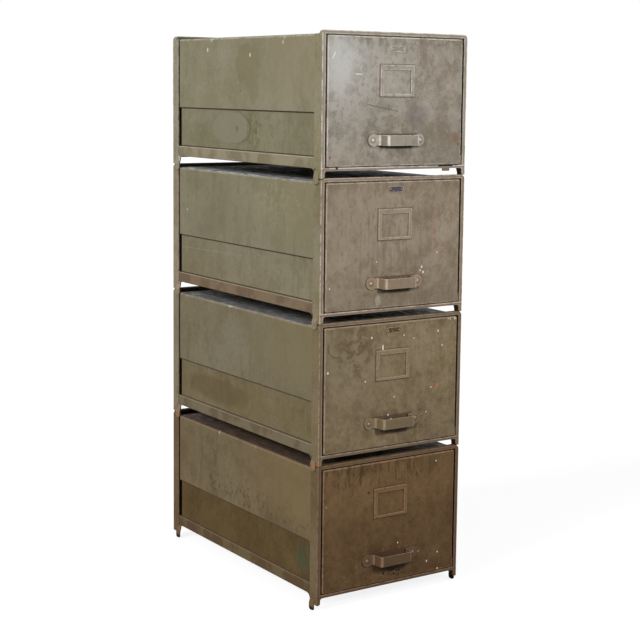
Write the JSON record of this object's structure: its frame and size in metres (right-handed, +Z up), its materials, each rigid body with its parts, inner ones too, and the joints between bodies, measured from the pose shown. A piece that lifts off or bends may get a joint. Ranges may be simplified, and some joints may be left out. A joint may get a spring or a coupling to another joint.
{
  "type": "stacking file drawer cabinet",
  "caption": "Tall stack of steel drawer sections with bent-angle end frames, flat drawer fronts, card holders and strap pulls.",
  "frame": {"origin": "on the floor, under the middle of the bounding box, handles included", "axes": "+X across the front, to the right seen from the front; +Y to the back; +Z up"},
  "size_m": [0.3974, 0.706, 1.273],
  "materials": {
    "frame_paint": "worn enamel on angle steel",
    "box_paint": "thin enamel",
    "runner_steel": "plain oiled steel",
    "case_paint_1": "aged olive-grey enamel",
    "front_paint_1": "aged, scratched enamel",
    "case_paint_2": "aged olive-grey enamel",
    "front_paint_2": "aged, scratched enamel",
    "case_paint_3": "aged olive-grey enamel",
    "front_paint_3": "aged, scratched enamel",
    "case_paint_4": "aged olive-grey enamel",
    "front_paint_4": "aged, scratched enamel"
  },
  "bodies": {
    "section_4": {"section_4_front_frame": "frame_paint", "section_4_rear_frame": "frame_paint", "section_4_case_cover": "case_paint_4", "section_4_lower_sides": "case_paint_4", "section_4_back_panel": "case_paint_4", "section_4_drawer_tracks": "runner_steel"},
    "drawer_4": {"section_4_drawer_box": "box_paint", "section_4_drawer_rails": "runner_steel", "section_4_drawer_front": "front_paint_4", "section_4_handle": "front_paint_4", "section_4_handle_rivets": "front_paint_4", "section_4_card_holder": "front_paint_4"},
    "case_rollers_4": {"section_4_case_rollers": "runner_steel"},
    "drawer_rollers_4": {"section_4_drawer_rollers": "runner_steel"},
    "section_3": {"section_3_front_frame": "frame_paint", "section_3_rear_frame": "frame_paint", "section_3_case_cover": "case_paint_3", "section_3_lower_sides": "case_paint_3", "section_3_back_panel": "case_paint_3", "section_3_drawer_tracks": "runner_steel"},
    "drawer_3": {"section_3_drawer_box": "box_paint", "section_3_drawer_rails": "runner_steel", "section_3_drawer_front": "front_paint_3", "section_3_handle": "front_paint_3", "section_3_handle_rivets": "front_paint_3", "section_3_card_holder": "front_paint_3"},
    "case_rollers_3": {"section_3_case_rollers": "runner_steel"},
    "drawer_rollers_3": {"section_3_drawer_rollers": "runner_steel"},
    "section_2": {"section_2_front_frame": "frame_paint", "section_2_rear_frame": "frame_paint", "section_2_case_cover": "case_paint_2", "section_2_lower_sides": "case_paint_2", "section_2_back_panel": "case_paint_2", "section_2_drawer_tracks": "runner_steel"},
    "drawer_2": {"section_2_drawer_box": "box_paint", "section_2_drawer_rails": "runner_steel", "section_2_drawer_front": "front_paint_2", "section_2_handle": "front_paint_2", "section_2_handle_rivets": "front_paint_2", "section_2_card_holder": "front_paint_2"},
    "case_rollers_2": {"section_2_case_rollers": "runner_steel"},
    "drawer_rollers_2": {"section_2_drawer_rollers": "runner_steel"},
    "section_1": {"section_1_front_frame": "frame_paint", "section_1_rear_frame": "frame_paint", "section_1_case_cover": "case_paint_1", "section_1_lower_sides": "case_paint_1", "section_1_back_panel": "case_paint_1", "section_1_drawer_tracks": "runner_steel"},
    "drawer_1": {"section_1_drawer_box": "box_paint", "section_1_drawer_rails": "runner_steel", "section_1_drawer_front": "front_paint_1", "section_1_handle": "front_paint_1", "section_1_handle_rivets": "front_paint_1", "section_1_card_holder": "front_paint_1"},
    "case_rollers_1": {"section_1_case_rollers": "runner_steel"},
    "drawer_rollers_1": {"section_1_drawer_rollers": "runner_steel"}
  },
  "joints": [
    {"name": "drawer_4_slide", "type": "slide", "parent": "section_4", "child": "drawer_4", "axis": [0, -1, 0], "range_m": [0, 0.543]},
    {"name": "case_rollers_4_spin", "type": "hinge", "parent": "section_4", "child": "case_rollers_4", "pos_m": [0, -0.276, 0.0815], "axis": [1, 0, 0], "continuous": true},
    {"name": "drawer_rollers_4_spin", "type": "hinge", "parent": "drawer_4", "child": "drawer_rollers_4", "pos_m": [0, 0.2963, 0.077], "axis": [1, 0, 0], "continuous": true},
    {"name": "section_3_lift", "type": "slide", "parent": "section_4", "child": "section_3", "axis": [0, 0, 1], "range_m": [0, 0.04]},
    {"name": "drawer_3_slide", "type": "slide", "parent": "section_3", "child": "drawer_3", "axis": [0, -1, 0], "range_m": [0, 0.543]},
    {"name": "case_rollers_3_spin", "type": "hinge", "parent": "section_3", "child": "case_rollers_3", "pos_m": [0, -0.276, 0.3965], "axis": [1, 0, 0], "continuous": true},
    {"name": "drawer_rollers_3_spin", "type": "hinge", "parent": "drawer_3", "child": "drawer_rollers_3", "pos_m": [0, 0.2963, 0.392], "axis": [1, 0, 0], "continuous": true},
    {"name": "section_2_lift", "type": "slide", "parent": "section_3", "child": "section_2", "axis": [0, 0, 1], "range_m": [0, 0.04]},
    {"name": "drawer_2_slide", "type": "slide", "parent": "section_2", "child": "drawer_2", "axis": [0, -1, 0], "range_m": [0, 0.543]},
    {"name": "case_rollers_2_spin", "type": "hinge", "parent": "section_2", "child": "case_rollers_2", "pos_m": [0, -0.276, 0.7115], "axis": [1, 0, 0], "continuous": true},
    {"name": "drawer_rollers_2_spin", "type": "hinge", "parent": "drawer_2", "child": "drawer_rollers_2", "pos_m": [0, 0.2963, 0.707], "axis": [1, 0, 0], "continuous": true},
    {"name": "section_1_lift", "type": "slide", "parent": "section_2", "child": "section_1", "axis": [0, 0, 1], "range_m": [0, 0.04]},
    {"name": "drawer_1_slide", "type": "slide", "parent": "section_1", "child": "drawer_1", "axis": [0, -1, 0], "range_m": [0, 0.543]},
    {"name": "case_rollers_1_spin", "type": "hinge", "parent": "section_1", "child": "case_rollers_1", "pos_m": [0, -0.276, 1.0265], "axis": [1, 0, 0], "continuous": true},
    {"name": "drawer_rollers_1_spin", "type": "hinge", "parent": "drawer_1", "child": "drawer_rollers_1", "pos_m": [0, 0.2963, 1.022], "axis": [1, 0, 0], "continuous": true}
  ],
  "couplings": [
    {"joint": "case_rollers_4_spin", "follows": "drawer_4_slide", "rad_per_m": 83.333},
    {"joint": "drawer_rollers_4_spin", "follows": "drawer_4_slide", "rad_per_m": 83.333},
    {"joint": "case_rollers_3_spin", "follows": "drawer_3_slide", "rad_per_m": 83.333},
    {"joint": "drawer_rollers_3_spin", "follows": "drawer_3_slide", "rad_per_m": 83.333},
    {"joint": "case_rollers_2_spin", "follows": "drawer_2_slide", "rad_per_m": 83.333},
    {"joint": "drawer_rollers_2_spin", "follows": "drawer_2_slide", "rad_per_m": 83.333},
    {"joint": "case_rollers_1_spin", "follows": "drawer_1_slide", "rad_per_m": 83.333},
    {"joint": "drawer_rollers_1_spin", "follows": "drawer_1_slide", "rad_per_m": 83.333}
  ]
}
